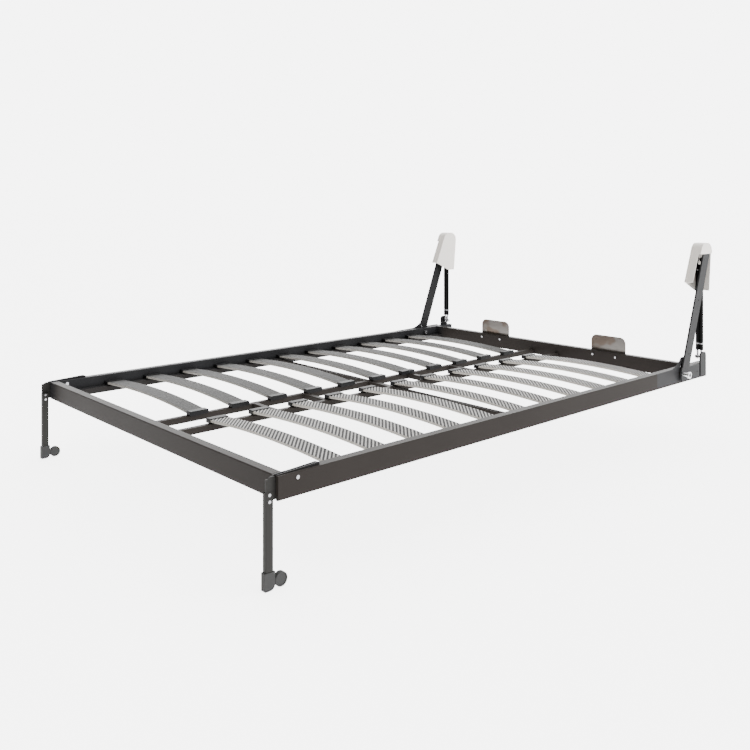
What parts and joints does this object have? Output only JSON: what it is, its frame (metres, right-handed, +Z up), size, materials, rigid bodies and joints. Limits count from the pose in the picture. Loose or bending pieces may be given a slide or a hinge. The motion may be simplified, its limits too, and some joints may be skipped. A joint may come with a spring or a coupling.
{
  "type": "fold down wall bed mechanism",
  "caption": "Double slatted bed frame on two leaning wall brackets, with gas springs, white covers and folding legs, swinging up by a quarter turn.",
  "frame": {"origin": "On the floor, under the middle of the bounding box.", "axes": "+X to the bed's right side seen from the foot, +Y from foot to head, +Z up."},
  "size_m": [1.48, 2.1498, 0.741],
  "materials": {
    "rail_grey": "satin grey powder coat",
    "bracket_grey": "satin grey powder coat",
    "dark_steel": "dark grey powder coat",
    "cover_white": "satin off-white plastic",
    "bright_zinc": "bright zinc plated steel",
    "plate_zinc": "satin zinc plated steel",
    "black_plastic": "matt black plastic",
    "slat_finish": "coated bent plywood with a woven texture",
    "spring_black": "gloss black paint",
    "foot_rubber": "dark grey rubber",
    "bush_bronze": "plain bearing bronze"
  },
  "bodies": {
    "wall_side": {"right_wall_bracket": "bracket_grey", "left_wall_bracket": "bracket_grey", "right_spring_cover": "cover_white", "left_spring_cover": "cover_white", "right_pivot_stud": "bright_zinc", "left_pivot_stud": "bright_zinc", "right_upper_spring_pin": "bright_zinc", "left_upper_spring_pin": "bright_zinc"},
    "bed_frame": {"right_side_rail": "rail_grey", "left_side_rail": "rail_grey", "foot_rail": "rail_grey", "head_rail": "rail_grey", "right_slat_ledge": "rail_grey", "left_slat_ledge": "rail_grey", "right_centre_rail": "rail_grey", "left_centre_rail": "rail_grey", "cross_ties": "rail_grey", "mid_crossbar": "rail_grey", "right_hinge_plate": "bracket_grey", "left_hinge_plate": "bracket_grey", "right_spring_ear": "bracket_grey", "left_spring_ear": "bracket_grey", "ear_bolts": "bracket_grey", "pivot_bushes": "bush_bronze", "hinge_rivets": "bright_zinc", "right_mattress_stop": "plate_zinc", "left_mattress_stop": "plate_zinc", "stop_bolts": "bright_zinc", "right_outer_slat_holders": "black_plastic", "right_inner_slat_holders": "black_plastic", "left_outer_slat_holders": "black_plastic", "left_inner_slat_holders": "black_plastic", "slat_pair_01": "slat_finish", "slat_pair_02": "slat_finish", "slat_pair_03": "slat_finish", "slat_pair_04": "slat_finish", "slat_pair_05": "slat_finish", "slat_pair_06": "slat_finish", "slat_pair_07": "slat_finish", "slat_pair_08": "slat_finish", "slat_pair_09": "slat_finish", "slat_pair_10": "slat_finish", "slat_pair_11": "slat_finish", "leg_pivot_bolts": "bright_zinc", "right_leg_guide": "black_plastic", "left_leg_guide": "black_plastic"},
    "right_leg": {"right_leg_plate": "dark_steel", "right_leg_tube": "dark_steel", "right_leg_rivets": "bright_zinc", "right_foot": "foot_rubber"},
    "left_leg": {"left_leg_plate": "dark_steel", "left_leg_tube": "dark_steel", "left_leg_rivets": "bright_zinc", "left_foot": "foot_rubber"},
    "right_cylinders": {"right_gas_cylinders": "spring_black"},
    "left_cylinders": {"left_gas_cylinders": "spring_black"},
    "right_rods": {"right_gas_rods": "bright_zinc"},
    "left_rods": {"left_gas_rods": "bright_zinc"}
  },
  "joints": [
    {"name": "bed_fold", "type": "hinge", "parent": "wall_side", "child": "bed_frame", "pos_m": [0, 0.84412, 0.245], "axis": [-1, 0, 0], "range_deg": [0, 90]},
    {"name": "right_leg_fold", "type": "hinge", "parent": "bed_frame", "child": "right_leg", "pos_m": [0.686, -0.98688, 0.253], "axis": [1, 0, 0], "range_deg": [0, 83]},
    {"name": "right_spring_swing", "type": "hinge", "parent": "wall_side", "child": "right_cylinders", "pos_m": [0.6922, 1.02112, 0.675], "axis": [-1, 0, 0], "range_deg": [0, 12.74]},
    {"name": "right_spring_stroke", "type": "slide", "parent": "right_cylinders", "child": "right_rods", "axis": [0, 0, -1], "range_m": [0, 0.2348]},
    {"name": "left_leg_fold", "type": "hinge", "parent": "bed_frame", "child": "left_leg", "pos_m": [-0.686, -0.98688, 0.253], "axis": [1, 0, 0], "range_deg": [0, 83]},
    {"name": "left_spring_swing", "type": "hinge", "parent": "wall_side", "child": "left_cylinders", "pos_m": [-0.6922, 1.02112, 0.675], "axis": [-1, 0, 0], "range_deg": [0, 12.74]},
    {"name": "left_spring_stroke", "type": "slide", "parent": "left_cylinders", "child": "left_rods", "axis": [0, 0, -1], "range_m": [0, 0.2348]}
  ],
  "couplings": [
    {"joint": "right_spring_swing", "follows": "bed_fold", "ratio": 0.13932},
    {"joint": "right_spring_stroke", "follows": "bed_fold", "m_per_rad": 0.14886},
    {"joint": "left_spring_swing", "follows": "bed_fold", "ratio": 0.13932},
    {"joint": "left_spring_stroke", "follows": "bed_fold", "m_per_rad": 0.14886}
  ]
}
